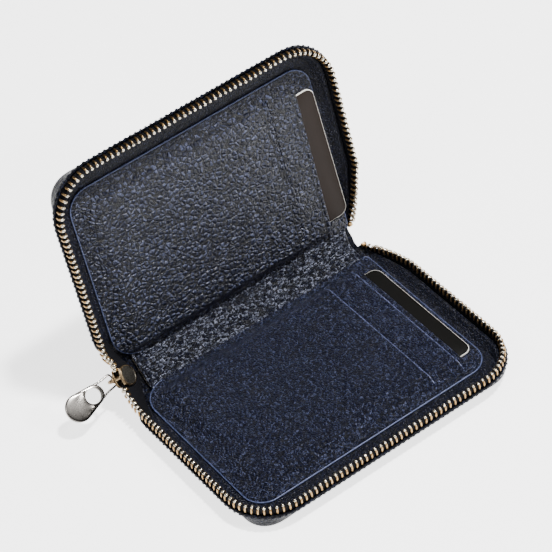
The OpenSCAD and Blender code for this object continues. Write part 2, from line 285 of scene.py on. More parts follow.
def tube(path, radius, around=8, flat=1.0, normals=(0, 0, 1.0)):
    """Rings round a path; flat squeezes them along the normals."""
    path = np.asarray(path, float)
    d = unit(np.gradient(path, axis=0))
    side = unit(np.cross(d, normals))
    up = np.cross(side, d)
    a = circle(around)
    r = np.broadcast_to(radius, (len(path),))[:, None, None]
    return (path[:, None] + r * (np.cos(a)[None, :, None] * side[:, None]
                                 + flat * np.sin(a)[None, :, None] * up[:, None]))


def bezier(p0, p1, p2, p3, count):
    t = np.linspace(0, 1, count)[:, None]
    return ((1 - t) ** 3 * p0 + 3 * (1 - t) ** 2 * t * p1 + 3 * (1 - t) * t * t * p2 + t ** 3 * p3)


# ---- the wall round a cover -------------------------------------------------
def top_share(u, back):
    """How much of the wall stands near the top end of the spine."""
    start, end, round_part = (26.0, -1.2, 0.3) if back else (19.0, -5.2, 0.6)
    k = np.clip((start - u) / (start - end), 0, 1)
    return np.clip(round_part * np.sqrt(1 - k * k) + (1 - round_part) * (1 - k), 0.02, 1)


def stations(s, back):
    """Arrays of u, v, normal u, normal v, share and lean at runs s."""
    s = np.asarray(s, float)
    u, v = s.copy(), np.full(s.shape, RIM_V0)
    nu, nv = np.zeros(s.shape), np.full(s.shape, -1.0)
    share, lean = np.ones(s.shape), np.ones(s.shape)
    for first, centre_v, a0 in ((END_RUN, RIM_V0 + RIM_R, -90),
                                (END_RUN + ARC_RUN + FORE_RUN, RIM_V1 - RIM_R, 0)):
        k = (s >= first) & (s < first + ARC_RUN)
        a = np.radians(a0 + 90 * (s[k] - first) / ARC_RUN)
        u[k], v[k] = END_RUN + RIM_R * np.cos(a), centre_v + RIM_R * np.sin(a)
        nu[k], nv[k] = np.cos(a), np.sin(a)
        lean[k] = 1 - 0.85 * np.sin(2 * a) ** 2
    k = (s >= END_RUN + ARC_RUN) & (s < END_RUN + ARC_RUN + FORE_RUN)
    u[k], v[k] = RIM_U, RIM_V0 + RIM_R + s[k] - END_RUN - ARC_RUN
    nu[k], nv[k] = 1, 0
    k = s >= RIM_RUN - END_RUN
    u[k] = RIM_RUN - s[k]
    share[k] = top_share(u[k], back)
    v[k] = PANEL_H + END_MARGIN * share[k]
    nu[k], nv[k] = 0, 1
    return u, v, nu, nv, share, lean


def wall(s, section, back, low_start=None, extra=None):
    """Section points (x, z) carried along the rim; extra moves them outward."""
    u, v, nu, nv, share, lean = stations(s, back)
    x, z = np.array(section, float).T
    up = np.clip((z - FLOOR_TOP) / (KNEE_Z - FLOOR_TOP), 0, 1)
    move = (x[None] - FOOT_X * (1 - lean[:, None]) * (1 - up[None])) * share[:, None]
    if extra is not None:
        move = move + extra
    rise = share[:, None] * np.ones(len(x))[None]
    if low_start is not None:
        sinking = smooth((np.asarray(s)[:, None] - low_start[0]) / low_start[1])
        rise = rise * sinking
        move = np.where(move > FOOT_X, FOOT_X + (move - FOOT_X) * sinking, move)
    height = np.where(z[None] <= FLOOR_TOP, z[None], FLOOR_TOP + (z[None] - FLOOR_TOP) * rise)
    return cover(u[:, None] + nu[:, None] * move, v[:, None] + nv[:, None] * move, height)


# ---- materials --------------------------------------------------------------
class Nodes:
    """A short way to write node graphs."""

    def __init__(self, name):
        self.material = bpy.data.materials.new(name)
        self.material.use_nodes = True
        self.tree = self.material.node_tree
        self.shader = self.tree.nodes["Principled BSDF"]
        self.place = self.tree.nodes.new("ShaderNodeTexCoord").outputs["Object"]

    def add(self, kind, **inputs):
        """A new node; underscores in the input names stand for spaces."""
        node = self.tree.nodes.new("ShaderNode" + kind)
        for name, value in inputs.items():
            self.put(node.inputs[name.replace("_", " ")], value)
        return node

    def put(self, socket, value):
        if isinstance(value, (int, float, tuple)):
            socket.default_value = value
        else:
            self.tree.links.new(value, socket)

    def mapped(self, scale, turn=(0, 0, 0), shift=(0, 0, 0)):
        shift = tuple(c * MM for c in shift)
        return self.add("Mapping", Vector=self.place, Location=shift, Scale=scale,
                        Rotation=turn).outputs[0]

    def noise(self, per_mm, detail=4, rough=0.55, vector=None):
        return self.add("TexNoise", Vector=vector or self.place, Scale=per_mm / MM, Detail=detail,
                        Roughness=rough).outputs["Fac"]

    def voronoi(self, per_mm, vector):
        n = self.add("TexVoronoi", Scale=per_mm / MM, Vector=vector)
        n.feature = "DISTANCE_TO_EDGE"
        return n.outputs["Distance"]

    def wave(self, per_mm, vector, direction, distortion):
        n = self.add("TexWave", Scale=per_mm / MM * math.pi / 10, Distortion=distortion,
                     Vector=vector)
        n.bands_direction = direction
        return n.outputs["Fac"]

    def ramp(self, value, low, high):
        n = self.add("ValToRGB", Fac=value)
        ends = n.color_ramp.elements
        ends[0].position, ends[1].position = low, high
        return n.outputs[0]

    def mix(self, factor, a, b):
        n = self.add("Mix")
        n.data_type = "RGBA"
        for socket, value in ((0, factor), (6, a), (7, b)):
            self.put(n.inputs[socket], value)
        return n.outputs[2]

    def maths(self, kind, a, b):
        n = self.add("Math")
        n.operation = kind
        self.put(n.inputs[0], a)
        self.put(n.inputs[1], b)
        return n.outputs[0]

    times = partialmethod(maths, "MULTIPLY")
    plus = partialmethod(maths, "ADD")
    minus = partialmethod(maths, "SUBTRACT")

    def bump(self, height, depth_mm):
        return self.add("Bump", Strength=1.0, Distance=depth_mm * MM, Height=height).outputs[0]

    def set(self, **values):
        names = {"colour": "Base Color", "rough": "Roughness", "metal": "Metallic",
                 "normal": "Normal", "specular": "Specular IOR Level"}
        for key, value in values.items():
            self.put(self.shader.inputs[names[key]], value)
        return self.material


def rgb(r, g, b):
    """An sRGB colour from 0 to 255 as a linear one."""
    def linear(c):
        c /= 255
        return c / 12.92 if c <= 0.04045 else ((c + 0.055) / 1.055) ** 2.4
    return (linear(r), linear(g), linear(b), 1)


def leather(name, dark, base, pale, grain, depth, rough, wear_tone_and_highlight, gloss=0.38, stretch=(1, 1, 1)):
    """Pebbled navy leather: creases darkened as painted shade, a pale painted highlight on the side
    of each pebble that faces the light, fine pores.
    """
    n = Nodes(name)
    place = n.mapped(stretch)
    # A copy of the grain shifted toward the key light; where the two differ is the lit side of each
    # pebble, which gets the painted highlight.
    shifted = n.mapped(stretch, shift=(0.14, 0.1, 0.2))
    bend = n.noise(0.7, 2, vector=place)
    pebble = n.voronoi(1 / grain, place)
    small = n.voronoi(2.6 / grain, place)
    ahead = n.voronoi(1 / grain, shifted)
    fine = n.noise(5.5, 5, 0.65)
    # The creases are darkened toward the dark colour as painted shade.
    tops = n.ramp(pebble, 0.03, 0.28)
    little = n.ramp(small, 0.0, 0.22)
    crest = n.times(n.ramp(n.minus(pebble, ahead), 0.02, 0.09),
                    n.minus(1.0, n.ramp(pebble, 0.24, 0.4)))
    colour = n.mix(n.times(tops, n.plus(n.times(little, 0.4), 0.6)), dark, base)
    # Painted highlight: the pale colour laid in patches on the lit side of each pebble, near its
    # edge.
    painted_highlight = n.times(n.times(crest, n.ramp(bend, 0.36, 0.58)), n.ramp(fine, 0.44, 0.58))
    colour = n.mix(n.times(painted_highlight, wear_tone_and_highlight), colour, pale)
    height = n.plus(n.plus(n.times(tops, 0.8), n.times(little, 0.25)), n.times(fine, 0.12))
    roughness = n.plus(n.times(n.ramp(fine, 0.3, 0.7), rough[1] - rough[0]), rough[0])
    return n.set(colour=colour, rough=roughness, normal=n.bump(height, depth), specular=gloss)


def woven(name, dark, pale):
    """Zip tape: a dense twill that runs along the tape, with slight fuzz."""
    thread = 0.32
    n = Nodes(name)
    place = n.mapped((1, 1, 1), (0.35, 0.2, 0.78))
    a = n.wave(1 / thread, place, "X", 0.6)
    b = n.wave(1 / thread, place, "Y", 0.6)
    c = n.wave(0.8 / thread, place, "Z", 0.6)
    weave = n.times(n.plus(n.times(a, b), c), 0.5)
    fuzz = n.noise(9, 4, 0.7)
    colour = n.mix(n.times(weave, n.ramp(fuzz, 0.3, 0.75)), dark, pale)
    height = n.plus(weave, n.times(fuzz, 0.4))
    return n.set(colour=colour, rough=0.82, normal=n.bump(height, 0.09), specular=0.15)


def metal(name, base, wear_tone_and_highlight, rough=0.28, scale=1.2, scratch=0.02):
    """Plated metal: tone patches, roughness that rises with them, and fine scratches."""
    n = Nodes(name)
    patch = n.noise(scale, 4, 0.6)
    fine = n.noise(12, 3, 0.6)
    return n.set(colour=n.mix(n.ramp(patch, 0.38, 0.66), base, wear_tone_and_highlight),
                 rough=n.plus(n.times(patch, 0.2), rough - 0.08), metal=1.0,
                 normal=n.bump(fine, scratch))


def plate_with_painted_shade(name, dark, base, way, start, reach):
    """Polished plate painted darker toward one edge as painted shade, over the reach that follows
    start.
    """
    n = Nodes(name)
    along = n.add("VectorMath")
    along.operation = "DOT_PRODUCT"
    n.put(along.inputs[0], n.place)
    n.put(along.inputs[1], tuple(float(c) / (reach * MM) for c in way))
    patch = n.noise(0.35, 3, 0.6)
    fine = n.noise(12, 3, 0.6)
    side = n.plus(n.minus(along.outputs["Value"], start / reach),
                  n.times(n.minus(patch, 0.5), 0.5))
    return n.set(colour=n.mix(n.ramp(side, 0.0, 1.0), base, dark),
                 rough=n.plus(n.times(patch, 0.12), 0.2), metal=1.0, normal=n.bump(fine, 0.003))


def card_skin(name, base, fleck):
    """Satin printed card with a faint fleck."""
    n = Nodes(name)
    fine = n.noise(6, 3, 0.6)
    broad = n.noise(0.08, 2)
    colour = n.mix(n.times(n.ramp(fine, 0.45, 0.75), 0.5), base, fleck)
    colour = n.mix(n.times(broad, 0.25), colour, fleck)
    return n.set(colour=colour, rough=n.plus(n.times(fine, 0.15), 0.38),
                 normal=n.bump(fine, 0.008), specular=0.1)


def plain_grain(name, base, other, rough=0.6, per_mm=3.0, depth=0.03):
    """Matt stock such as thread, core board or painted edges, with a fine tooth."""
    n = Nodes(name)
    fine = n.noise(per_mm, 4, 0.65)
    return n.set(colour=n.mix(n.ramp(fine, 0.35, 0.7), base, other), rough=rough,
                 normal=n.bump(fine, depth))


# Each leather's third colour is the colour of its painted highlights, and its first colour is the
# painted shade in its creases.
PEBBLED = leather("pebbled_leather", rgb(1, 1, 4), rgb(10, 15, 37), rgb(150, 160, 204),
                  grain=1.75, depth=0.6, rough=(0.26, 0.4), wear_tone_and_highlight=0.38)
SMOOTH = leather("smooth_leather", rgb(1, 2, 8), rgb(8, 12, 36), rgb(128, 138, 182),
                 grain=1.1, depth=0.4, rough=(0.3, 0.44), wear_tone_and_highlight=0.46, gloss=0.24)
COVER = leather("cover_leather", rgb(1, 1, 3), rgb(5, 8, 22), rgb(58, 66, 100), grain=1.5,
                depth=0.45, rough=(0.36, 0.5), wear_tone_and_highlight=0.4, gloss=0.13)
BAND = leather("band_leather", rgb(1, 1, 4), rgb(7, 10, 26), rgb(84, 92, 130), grain=1.0,
               depth=0.3, rough=(0.3, 0.46), wear_tone_and_highlight=0.3, gloss=0.26)
TAPE = woven("zip_tape_cloth", rgb(3, 3, 6), rgb(19, 20, 27))
HEAD = metal("tooth_head_metal", rgb(176, 166, 146), rgb(222, 214, 198), 0.24)
LEG = metal("tooth_leg_metal", rgb(128, 98, 62), rgb(186, 156, 112), 0.34)
GOLD = metal("slider_gold", rgb(92, 74, 52), rgb(166, 144, 112), 0.32, 1.6)
PEWTER = metal("slider_pewter", rgb(66, 64, 60), rgb(112, 108, 98), 0.42, 2.2, 0.05)
EDGE_PAINT = plain_grain("painted_edge", rgb(34, 42, 74), rgb(92, 102, 140), 0.42, 2.0)
SLIT_PAINT = plain_grain("slit_edge", rgb(26, 32, 58), rgb(66, 74, 108), 0.45, 2.0)
# The next two are painted shade and a painted highlight for the crease and slit lines.
CREASE_SHADE = plain_grain("painted_crease_shade", rgb(1, 1, 3), rgb(5, 6, 13), 0.6, 2.0)
CREASE_HIGHLIGHT = plain_grain("painted_crease_highlight", rgb(18, 24, 52), rgb(104, 112, 150), 0.42, 1.1)
THREAD = plain_grain("stitch_thread", rgb(9, 11, 22), rgb(30, 34, 54), 0.7, 6.0, 0.05)
BOARD = plain_grain("core_board", rgb(120, 112, 98), rgb(150, 142, 126), 0.8, 1.2)
BLACK_CARD = card_skin("black_card_skin", rgb(11, 11, 10), rgb(19, 18, 17))
BROWN_CARD = card_skin("brown_card_skin", rgb(27, 20, 16), rgb(38, 29, 24))
CARD_CORE = plain_grain("card_core", rgb(212, 208, 198), rgb(238, 236, 230), 0.5, 4.0, 0.01)


# ---- panels and pockets -----------------------------------------------------
UPPER_SLIT, LOWER_SLIT = PANEL_H - 7.8, PANEL_H - 19.8
CORNERS = ((10.3, 10.0, 10.0, 180), (62.0, 8.0, 8.0, 270), (62.0, 92.0, 8.0, 0),
           (1.8, 98.5, 1.5, 90))
STITCH_IN = 2.3  # seam in from the panel's edge
CREASE_IN = 1.7  # pressed line below a slit


def corner_arcs(corners, inset, count):
    """Points round quarter circles, each given by its centre, radius and first angle."""
    points = []
    for u, v, r, start in corners:
        a = np.radians(np.linspace(start, start + 90, count))
        r = max(r - inset, 0.05)
        points.append(np.stack([u + r * np.cos(a), v + r * np.sin(a)], -1))
    return np.concatenate(points)


def outline(inset, step=0.8):
    """Panel edge from the spine's slider end round to its top end, evenly spaced."""
    points = corner_arcs(CORNERS, inset, 24)
    run = run_lengths(points)
    even = np.linspace(0, run[-1], int(run[-1] / step) + 1)
    return np.stack([np.interp(even, run, points[:, k]) for k in (0, 1)], -1)


def edge_distance(u, v):
    """Distance in from the panel's edge, leaving out the side along the spine."""
    d = np.minimum(np.minimum(PANEL_W - u, v), PANEL_H - v)
    for cu, cv, r, _ in CORNERS[1:3]:
        far = (u > cu) & ((v < cv) if cv < 50 else (v > cv))
        d = np.where(far, r - np.hypot(u - cu, v - cv), d)
    cu, cv, r, _ = CORNERS[0]
    return np.where((u < cu) & (v < cv), r - np.hypot(u - cu, v - cv), d)


def across(v, inset):
    """Lowest and highest u of the panel at v."""
    low = np.full(v.shape, 0.3 + inset)
    high = np.full(v.shape, PANEL_W - inset)
    for cu, cv, r, start in CORNERS:
        k = (v < cv) if cv < 50 else (v > cv)
        reach = np.sqrt(np.clip((r - inset) ** 2 - (v - cv) ** 2, 0, None))
        if start in (180, 90):
            low = np.where(k, np.maximum(low, cu - reach), low)
        else:
            high = np.where(k, np.minimum(high, cu + reach), high)
    return low, high


class Panel:
    """Heights of the lining and pockets of one cover, in cover coordinates."""

    def __init__(self, back):
        self.back = back
        self.seed = 40 if back else 10
        self.spine_ramp = (0.9, 3.6) if back else (2.4, 5.0)

    def grain(self, u, v):
        edge = smooth((edge_distance(u, v) - 0.5) / 3.0)
        size, height = (1.35, 0.16) if self.back else (1.15, 0.08)
        g = height * pebbles(u, v, size, self.seed) + 0.05 * pebbles(u, v, 0.6, self.seed + 5)
        return g * (0.3 + 0.7 * edge) + 0.07 * waves(u / 11, v / 11, self.seed + 3)

    def groove(self, u, v):
        d = edge_distance(u, v)
        return -0.13 * np.exp(-((d - STITCH_IN) / 0.38) ** 2) + 0.07 * np.exp(-(d / 0.9) ** 2)

    def raised(self, u, v, lower):
        start, length = self.spine_ramp
        inward = 0.8 if lower else 0.0
        return (smooth((u - start - inward) / length)
                * smooth((67.6 - inward - u) / 5.0) * smooth((v - 2.6 - inward) / 7.0))

    def base(self, u, v):
        return FOLD_Z + self.groove(u, v) + self.grain(u, v) * 0.7

    def mouth(self, v, slit):
        """The pressed line and the raised lip below a pocket's slit."""
        return (-0.2 * np.exp(-((v - slit + CREASE_IN) / 0.26) ** 2)
                + 0.22 * smooth((v - slit + 1.2) / 0.8))

    def between_seams(self, u):
        return smooth((u - 3.2) / 1.2) * smooth((66 - u) / 1.2)

    def upper(self, u, v):
        dip = 0.9 * np.exp(-((v - LOWER_SLIT - 0.35) / 0.32) ** 2)
        crease = (self.mouth(v, UPPER_SLIT) - dip) * self.between_seams(u)
        return (FOLD_Z + 0.03 + 1.66 * self.raised(u, v, False) + self.groove(u, v)
                + self.grain(u, v) + crease)

    def lower(self, u, v):
        crease = self.mouth(v, LOWER_SLIT) * self.between_seams(u)
        sag = 0.18 * waves(u / 26, v / 26, self.seed + 9, 1)
        return (FOLD_Z + 0.06 + 1.66 * self.raised(u, v, False)
                + (0.62 + sag * 0.6) * self.raised(u, v, True)
                + self.groove(u, v) + self.grain(u, v) + crease)

    def top(self, u, v):
        """Height of whichever layer lies on top at one point."""
        layer = self.lower if v < LOWER_SLIT else self.upper if v < UPPER_SLIT else self.base
        return float(layer(u, v))

    def surface(self, height, v, inset, count):
        low, high = across(v, inset)
        k = np.linspace(0, 1, count)[None]
        u = low[:, None] + (high - low)[:, None] * k
        vv = np.repeat(v[:, None], count, 1)
        return u, vv, height(u, vv)


def rows(v0, v1, step, round0=0.0, round1=0.0):
    """Rows from v0 to v1, closer where the outline turns a corner."""
    parts = []
    if round0:
        parts.append(v0 + round0 * (1 - np.cos(np.linspace(0, math.pi / 2, 14)[:-1])))
    a, b = v0 + round0, v1 - round1
    parts.append(np.linspace(a, b, max(2, int((b - a) / step))))
    if round1:
        parts.append(v1 - round1 * (1 - np.sin(np.linspace(0, math.pi / 2, 14)[1:])))
    return np.concatenate(parts)


def closed_sheet(panel, height, v, inset, count, thick, lip):
    """A sheet with a top, an underside and, at its last row, a rounded lip."""
    u, vv, z = panel.surface(height, v, inset, count)
    top = cover(u, vv, z)
    last_u, last_z = u[-1], z[-1]
    extra = []
    if lip:
        for dv, dz in ((0.12, 0.05), (0.2, 0.2), (0.2, 0.45), (0.08, 0.62)):
            extra.append(cover(last_u, v[-1] + dv, last_z - dz))
    under_v = np.linspace(v[-1], v[0], 60)
    under_u, under_vv, under_z = panel.surface(height, under_v, inset, count)
    under = cover(under_u, under_vv, under_z - thick)
    parts = [top, np.array(extra), under] if lip else [top, under]
    return np.concatenate(parts), len(v), len(extra)


def build_panel(side, back):
    cover_body = side + "_cover"
    skin = PEBBLED if back else SMOOTH
    panel = Panel(back)
    v = np.concatenate([rows(0.12, 88, 0.9, 8.0)[:-1], rows(88, PANEL_H - 0.12, 0.4, 0, 6.0)])
    sheet, _, _ = closed_sheet(panel, panel.base, v, 0.14, 150, 0.78, False)
    lining = Shape().grid(sheet, wrap_rows=True).build(
        side + "_lining_skin", [skin], cover_body, "lining_leather", back)
    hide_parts(side + "_lining")
    for name, height, slit, inset, seen_from in (
            ("upper", panel.upper, UPPER_SLIT, 0.5, LOWER_SLIT - 4),
            ("lower", panel.lower, LOWER_SLIT, 0.62, 0)):
        if seen_from:
            v = np.concatenate([rows(0.6, seen_from, 1.1, 7.0)[:-1],
                                np.linspace(seen_from, seen_from + 5.5, 40)[:-1],
                                np.linspace(seen_from + 5.5, slit, 34)])
        else:
            v = rows(0.72, slit, 0.36, 7.0)
        sheet, n, m = closed_sheet(panel, height, v, inset, 190, 0.66, True)
        shape = Shape().grid(sheet, wrap_rows=True)
        per_row = sheet.shape[1] - 1
        for i in range(n * per_row, (n + m - 1) * per_row):
            shape.marks[i] = 1
        pocket = shape.build(side + "_" + name + "_pocket_skin", [skin, SLIT_PAINT],
                             cover_body, "lining_leather", back)
        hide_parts(side + "_" + name + "_pocket")

    path = outline(-0.02)
    edge = cover(path[:, 0], path[:, 1], 2.86)
    Shape().rod(edge, 0.24, 10, 1.4).build(
        side + "_panel_edge", [EDGE_PAINT], cover_body, "lining_leather", back)

    path = outline(STITCH_IN, 1.05)
    stitches = Shape()
    for k in range(2, len(path) - 3, 2):
        a, b = path[k], path[k + 1]
        middle, step = (a + b) / 2, (b - a)
        half = np.linalg.norm(step) / 2
        step = step / (2 * half)
        z = panel.top(*middle)
        slant = 0.12
        along = unit(np.array([step[0] - slant * step[1], step[1] + slant * step[0], 0]))
        axes = (along, np.cross([0, 0, 1.0], along), [0, 0, 1.0])
        stitches.lump(cover(*middle, z + 0.06), axes, (half * 1.12, 0.2, 0.17), 0.8, 5, 8)
    for v_end, height in ((UPPER_SLIT, panel.upper), (LOWER_SLIT, panel.lower)):
        for u_end in (3.9, 65.4):
            for k in (-0.5, 0.5):
                z = float(height(u_end, v_end - 0.3))
                stitches.lump(cover(u_end, v_end + k - 0.2, z + 0.05), np.eye(3),
                              (0.24, 0.5, 0.2), 0.8, 5, 8)
    # Rods along the pressed lines and just above the lower slit: near black on the back cover as
    # painted shade, pale on the front as a painted highlight.
    for v_line, height, u0, u1 in (
            (UPPER_SLIT - CREASE_IN, panel.upper, 3.4, 65.8),
            (LOWER_SLIT - CREASE_IN, panel.lower, 3.4, 65.8),
            (LOWER_SLIT + 0.28, panel.upper, 3.2, 66.2)):
        u = np.linspace(u0, u1, 160)
        path = cover(u, v_line, height(u, np.full(160, v_line)) + 0.03)
        stitches.rod(path, 0.26 if back else 0.16, 8, 0.6, mark=1)
    stitches.build(side + "_panel_stitches_and_painted_creases", [THREAD, CREASE_SHADE if back else CREASE_HIGHLIGHT],
                   cover_body, "lining_leather", back)


# ---- cards ------------------------------------------------------------------
CARD_Z = 3.35  # underside of a card above the cover's outer face


def build_card(name, node, centre_u, top_v, tilt, body, skin, slot, back):
    width, length, thick, r = 53.98, 85.6, 0.76, 3.18
    side, low = width / 2 - r, r - length
    loop = corner_arcs(((side, -r, r, 0), (-side, -r, r, 90), (-side, low, r, 180),
                        (side, low, r, 270)), 0, 16)
    middle = np.array([0, -length / 2])
    t = math.radians(tilt)
    spin = np.array([[math.cos(t), -math.sin(t)], [math.sin(t), math.cos(t)]])
    points = []
    for inset, z in ((6.0, thick), (0.16, thick), (0.05, thick - 0.04), (0.0, thick - 0.12),
                     (0.0, 0.12), (0.05, 0.04), (0.16, 0.0), (6.0, 0.0)):
        away = loop - middle
        scale = 1 - inset / np.abs(away).max(axis=0)
        flat = (middle + away * scale) @ spin.T
        points.append(cover(centre_u + flat[:, 0], top_v + flat[:, 1], CARD_Z + z))
    shape = Shape().closed(np.array(points))
    for i in range(len(loop), 6 * len(loop)):
        shape.marks[i] = 1
    card = shape.build(name, [skin, CARD_CORE], body, slot, back, flip=True, auto=50)
    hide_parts(node)


# ---- outer leather, facing, tape and teeth ----------------------------------
OUTER_SECTION = [(-5.0, 0.02), (-3.6, 0.0), (-2.75, 0.12), (-2.25, 0.5), (-1.85, 1.3),
                 (-0.95, 2.6), (0.2, 4.1), (1.2, 5.35), (1.5, 5.85), (1.5, 6.2), (1.3, 6.4),
                 (1.0, 6.44), (0.75, 6.32), (0.62, 6.0), (-0.35, 4.5), (-2.55, 1.7),
                 (-4.0, 1.25), (-5.0, 1.25)]
FACING_SECTION = [(-13.6, 1.5), (-13.6, 2.3), (-11.0, 2.36), (-8.6, 2.38), (-6.9, 2.4),
                  (-5.7, 2.42), (-4.9, 2.5), (-4.0, 3.2), (-3.1, 4.3), (-2.5, 5.1),
                  (-2.1, 5.5), (-1.75, 5.62), (-1.4, 5.56), (-1.2, 5.35), (-1.4, 4.9),
                  (-2.6, 3.4), (-3.7, 1.9), (-4.2, 1.5)]
TAPE_SECTION = [(-1.5, 4.5), (-0.95, 5.3), (-0.5, 6.0), (-0.36, 6.6), (-0.36, 8.4),
                (-0.44, 8.55), (-0.42, 8.75), (-0.2, 8.86), (0.2, 8.86), (0.42, 8.75),
                (0.44, 8.55), (0.36, 8.4), (0.36, 6.9), (0.26, 6.1), (-0.2, 5.3), (-0.8, 4.5)]


def build_walls(side, back):
    seed = 70 if back else 60
    ends = RIM_RUN + (0.6 if back else 4.4)
    s = np.arange(4.0, ends, 0.8)
    z = np.array(OUTER_SECTION)[:, 1]
    move = 0.09 * waves(s[:, None] / 7, z[None] / 4, seed) * (z[None] > 1)
    outer = Shape().closed(wall(s, OUTER_SECTION, back, (3.0, 12.0), move))

    foot_s = np.linspace(4.0, RIM_RUN + 4, 700)
    u, v, nu, nv, share, lean = stations(foot_s, back)
    move = (FOOT_X - 0.5 - FOOT_X * (1 - lean)) * share
    fu, fv = u + nu * move, v + nv * move
    half = len(foot_s) // 2
    columns = np.concatenate([np.linspace(-6.1, 4, 30)[:-1], np.linspace(4, 60, 60)[:-1],
                              60 + (fu.max() - 60.05) * np.sin(np.linspace(0, math.pi / 2, 26))])
    low = np.interp(columns, fu[:half], fv[:half])
    k = np.clip((10 - columns) / 10, 0, 1)
    low = np.where(columns < 9, (RIM_V0 - FOOT_X + 0.5) * np.sqrt(np.clip(1 - k * k, 0.02, 1)), low)
    top_u, top_v = fu[half:][::-1], fv[half:][::-1]
    high = np.interp(columns, top_u, top_v)
    high = np.where(columns < -1.0, np.minimum(high, 100.4 - 0.7 * smooth((-1 - columns) / 5)), high)
    t = np.linspace(0, 1, 80)
    vv = low[:, None] + (high - low)[:, None] * t[None]
    uu = np.repeat(columns[:, None], 80, 1)
    rough = 0.05 * waves(uu / 9, vv / 9, seed + 4) + 0.04 * pebbles(uu, vv, 1.3, seed)
    under = cover(uu, vv, 0.04 - rough + 0.04)
    inner = cover(uu, vv, 1.28)[:, ::-1]
    outer.closed(np.concatenate([under, inner], 1))
    shell = outer.build(side + "_outer_shell", [COVER], None, "cover_leather", back)
    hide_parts(side + "_outer_leather", "spine_leather")

    s = np.arange(5.0, ends - (1.6 if back else 0.4), 0.7)
    z = np.array(FACING_SECTION)[:, 1]
    wrinkle = 0.16 * waves(s[:, None] / 2.4, z[None] / 1.6, seed + 8) + 0.22 * waves(
        s[:, None] / 9, z[None] / 5, seed + 9, 1)
    wrinkle = wrinkle * smooth((z[None] - 2.2) / 1.6) * (z[None] < 5.3) - 0.05
    band = Shape().closed(wall(s, FACING_SECTION, back, (4.0, 11.0), wrinkle))
    facing = band.build(side + "_facing_band", [BAND], None, "cover_leather", back)
    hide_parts(side + "_facing")

    s = np.arange(RIM_START, ends, 0.7)
    strip = Shape().closed(wall(s, TAPE_SECTION, back)).closed(end_tape(back))
    tape = strip.build(side + "_tape_strip", [TAPE], None, "zip_fabric", back)
    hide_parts(side + "_zip_tape", "tail_tape")

    seam = Shape()
    for section_point, run0 in (((1.46, 5.5), 16.0), ((-2.45, 5.22), 16.0)):
        s = np.arange(run0, RIM_RUN - 14, 1.05)
        line = wall(s, [section_point, (section_point[0] + 0.3, section_point[1])], back)
        for k in range(0, len(s) - 1, 2):
            a, b = line[k, 0], line[k + 1, 0]
            along, out = unit(b - a), unit(line[k, 1] - line[k, 0])
            seam.lump((a + b) / 2, (along, np.cross(out, along), out), (0.62, 0.17, 0.16), 0.8, 5, 6)
    seam.build(side + "_wall_stitches", [THREAD], None, "cover_leather", back)


# ---- where the two rows run into the slider ---------------------------------
SLIDER_X, LEVEL = turned(SPINE_X, ALONG, math.radians(170))
NOSE, FACE = turned(LEVEL, SPINE_N, math.radians(38))
SLIDER_AT = SPINE_MID - 1.45 * SPINE_X - (PANEL_H / 2 + 2.6) * ALONG + 5 * SPINE_N
RUN_IN = 11.0


def placed(origin, *axes):
    """A function that takes coordinates along three axes to points."""
    def point(*coordinates):
        parts = np.broadcast_arrays(*(np.asarray(c, float) for c in coordinates))
        return origin + sum(c[..., None] * axis for c, axis in zip(parts, axes))
    return point


slider = placed(SLIDER_AT, SLIDER_X, NOSE, FACE)


def flipped(p, back):
    """Build mirrors the back cover's pieces, so their points start out mirrored."""
    return mirrored(p) if back else np.asarray(p, float)


def run_in(back, count=60):
    """Line of the tape's edge from the rim to the slider's mouth, and its up vectors."""
    side = 1 if back else -1
    mouth = slider(side * 2.5, 3.3, 0.1)
    centre = -side * SLIDER_X
    into = unit(0.95 * centre + 0.25 * NOSE)
    tip = unit(0.3 * centre + 0.9 * NOSE)
    start = cover(RUN_IN, RIM_V0, TAPE_TOP - 0.6)
    line = bezier(start, start - np.array([3.6, 0, 0]), flipped(mouth - 3.2 * into, back),
                  flipped(mouth, back), count)
    end_up = flipped(mouth + tip, back) - flipped(mouth, back)
    t = (smooth(np.linspace(0, 1, count)) ** 3)[:, None]
    up = np.array([0, 0, 1.0]) * (1 - t) + end_up * t
    along = unit(np.gradient(line, axis=0))
    up = unit(up - (up * along).sum(1)[:, None] * along)
    return line, up, along


def end_tape(back):
    """Cloth between the run-in and the end of the spine, as a closed sheet."""
    line, up, _ = run_in(back)
    before = np.arange(17.0, RUN_IN, -0.7)
    edge = np.concatenate([cover(before, RIM_V0, TAPE_TOP - 0.3), line + 0.3 * up])
    count = len(edge)
    hem = SPINE_MID + 0.15 * SPINE_X + (4.3 - PANEL_H / 2) * ALONG - 0.9 * SPINE_N
    foot = bezier(cover(17, RIM_V0 + 3.6, 2.0), cover(7.5, RIM_V0 + 4.0, 1.9),
                  cover(-1.0, 2.0, 1.9), hem, count)
    t = np.linspace(0, 1, 26)
    k = np.linspace(0, 1, count)
    sheet = foot[:, None] * (1 - t[None, :, None]) + edge[:, None] * t[None, :, None]
    normal = unit(np.cross(np.gradient(sheet, axis=0), np.gradient(sheet, axis=1)))
    belly = (0.9 * np.sin(math.pi * t[None]) * smooth((k[:, None] - 0.25) / 0.5)
             + 0.16 * waves(k[:, None] * 9, t[None] * 3, 91 + back, 2) * np.sin(math.pi * t[None]))
    sheet = sheet + normal * belly[..., None]
    return np.concatenate([sheet + 0.34 * normal, (sheet - 0.34 * normal)[:, ::-1]], 1)


def rim_frames(runs, back):
    """Foot, along, outward and up of each tooth that stands on the rim."""
    feet = wall(runs, [(0, TOOTH_FOOT), (0, TOOTH_FOOT + 1), (1, TOOTH_FOOT)], back)
    for foot, high, beside in feet:
        up, out = unit(high - foot), unit(beside - foot)
        yield foot, unit(np.cross(up, out)), out, up


